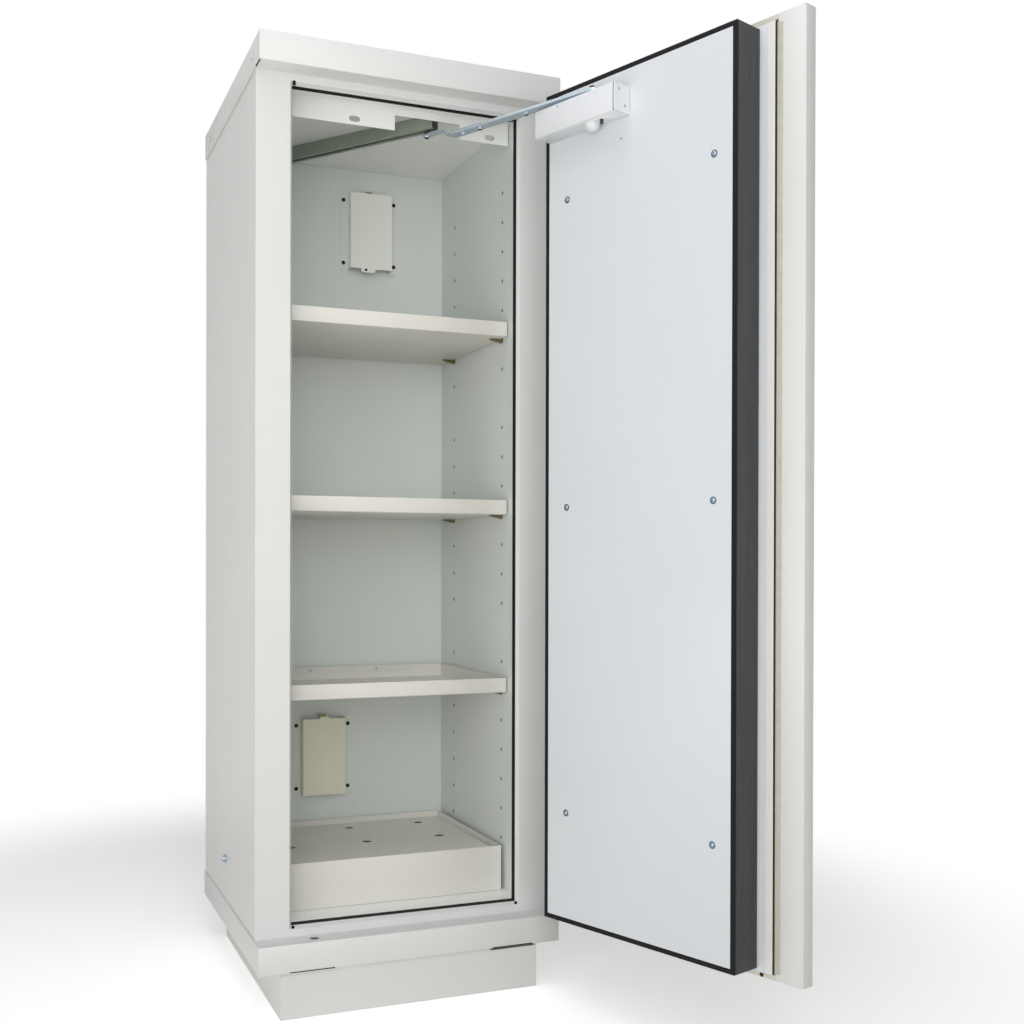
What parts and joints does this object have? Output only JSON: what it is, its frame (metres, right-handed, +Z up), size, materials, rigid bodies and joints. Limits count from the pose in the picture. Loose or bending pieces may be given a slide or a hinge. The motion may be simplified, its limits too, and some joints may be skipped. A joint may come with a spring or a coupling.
{
  "type": "flammable liquids safety cabinet",
  "caption": "Tall fire-resistant cabinet with an insulated right-hung door on a rail closer, tray shelves on clips, a sump tray with a pierced insert and covered vents.",
  "frame": {"origin": "middle of the rear plinth rail's underside, on the floor", "axes": "+X to the right seen from the front, +Y from the door to the back, +Z up"},
  "size_m": [0.8265, 1.1465, 1.8007],
  "materials": {
    "shell_paint": "light grey powder coat, satin",
    "liner_paint": "pale grey coated sheet, satin",
    "shelf_paint": "light grey powder coat, satin",
    "cream_paint": "cream coated sheet, satin",
    "insulation_board": "mineral board, hidden",
    "seal_black": "black expanding seal, matt",
    "core_foil": "insulating core in dark foil",
    "door_liner": "faced board, satin",
    "closer_paint": "white paint on cast housing",
    "zinc_steel": "bluish zinc plate",
    "rail_steel": "dull grey-green",
    "screw_steel": "zinc plate",
    "lock_plastic": "black, matt",
    "duct_steel": "galvanised"
  },
  "bodies": {
    "carcass": {"plinth_frame": "shell_paint", "base_skirt": "shell_paint", "top_cap": "shell_paint", "side_panel_left": "shell_paint", "side_panel_right": "shell_paint", "back_panel": "shell_paint", "front_frame": "shell_paint", "opening_seal": "seal_black", "insulation_left": "insulation_board", "insulation_right": "insulation_board", "insulation_back": "insulation_board", "insulation_top": "insulation_board", "insulation_bottom": "insulation_board", "liner_left": "liner_paint", "liner_right": "liner_paint", "liner_back": "liner_paint", "liner_floor": "liner_paint", "liner_ceiling": "liner_paint", "sump_tray": "shelf_paint", "vent_cover_upper": "cream_paint", "vent_cover_lower": "cream_paint", "vent_sleeve_upper": "duct_steel", "vent_sleeve_lower": "duct_steel", "ceiling_fascia": "shelf_paint", "closer_rail": "rail_steel", "earth_terminal": "screw_steel", "hinge_pin_upper": "screw_steel", "hinge_pin_lower": "screw_steel", "clip_lower_front_left": "screw_steel", "clip_lower_front_right": "screw_steel", "clip_lower_rear_left": "screw_steel", "clip_lower_rear_right": "screw_steel", "clip_middle_front_left": "screw_steel", "clip_middle_front_right": "screw_steel", "clip_middle_rear_left": "screw_steel", "clip_middle_rear_right": "screw_steel", "clip_upper_front_left": "screw_steel", "clip_upper_front_right": "screw_steel", "clip_upper_rear_left": "screw_steel", "clip_upper_rear_right": "screw_steel"},
    "plinth_cover": {"plinth_cover": "shell_paint"},
    "shelf_lower": {"shelf_lower": "shelf_paint"},
    "shelf_middle": {"shelf_middle": "shelf_paint"},
    "shelf_upper": {"shelf_upper": "shelf_paint"},
    "sump_insert": {"sump_insert": "shelf_paint"},
    "door": {"door_outer_panel": "shell_paint", "door_backing_board": "door_liner", "door_core": "core_foil", "door_seal_band": "seal_black", "door_face_board": "door_liner", "closer_body": "closer_paint", "lock_case": "lock_plastic", "handle_plate": "lock_plastic"},
    "closer_arm": {"closer_spindle": "zinc_steel", "closer_arm": "zinc_steel", "closer_arm_end": "zinc_steel"},
    "closer_slider": {"closer_slider": "lock_plastic"},
    "handle": {"handle_lever": "lock_plastic"},
    "key": {"key_plug": "zinc_steel"},
    "rod": {"lock_rod": "zinc_steel"}
  },
  "joints": [
    {"name": "door_hinge", "type": "hinge", "parent": "carcass", "child": "door", "pos_m": [0.2925, -0.5274, 0.9], "axis": [0, 0, -1], "range_deg": [0, 109.31]},
    {"name": "closer_arm_swing", "type": "hinge", "parent": "door", "child": "closer_arm", "pos_m": [0.25747, -0.76007, 1.69], "axis": [0, 0, 1], "range_deg": [0, 119]},
    {"name": "closer_slider_travel", "type": "slide", "parent": "carcass", "child": "closer_slider", "axis": [-0.5989, 0.8008, 0], "range_m": [0, 0.3855]},
    {"name": "handle_turn", "type": "hinge", "parent": "door", "child": "handle", "pos_m": [0.48225, -1.02781, 1.02], "axis": [0.9437, 0.3307, 0], "range_deg": [0, 90]},
    {"name": "rod_slide", "type": "slide", "parent": "door", "child": "rod", "axis": [0, 0, -1], "range_m": [0, 0.0181]},
    {"name": "key_turn", "type": "hinge", "parent": "door", "child": "key", "pos_m": [0.48225, -1.02781, 0.96], "axis": [0.9437, 0.3307, 0], "range_deg": [0, 90]},
    {"name": "insert_lift", "type": "slide", "parent": "carcass", "child": "sump_insert", "axis": [0, 0, 1], "range_m": [0, 0.06]},
    {"name": "plinth_cover_pull", "type": "slide", "parent": "carcass", "child": "plinth_cover", "axis": [0, -1, 0], "range_m": [0, 0.1]},
    {"name": "shelf_lower_lift", "type": "slide", "parent": "carcass", "child": "shelf_lower", "axis": [0, 0, 1], "range_m": [0, 0.03]},
    {"name": "shelf_middle_lift", "type": "slide", "parent": "carcass", "child": "shelf_middle", "axis": [0, 0, 1], "range_m": [0, 0.03]},
    {"name": "shelf_upper_lift", "type": "slide", "parent": "carcass", "child": "shelf_upper", "axis": [0, 0, 1], "range_m": [0, 0.03]}
  ],
  "couplings": [
    {"joint": "closer_arm_swing", "follows": "door_hinge", "ratio": 1.0851},
    {"joint": "closer_slider_travel", "follows": "door_hinge", "m_per_rad": 0.20148},
    {"joint": "rod_slide", "follows": "handle_turn", "m_per_rad": 0.01146}
  ]
}
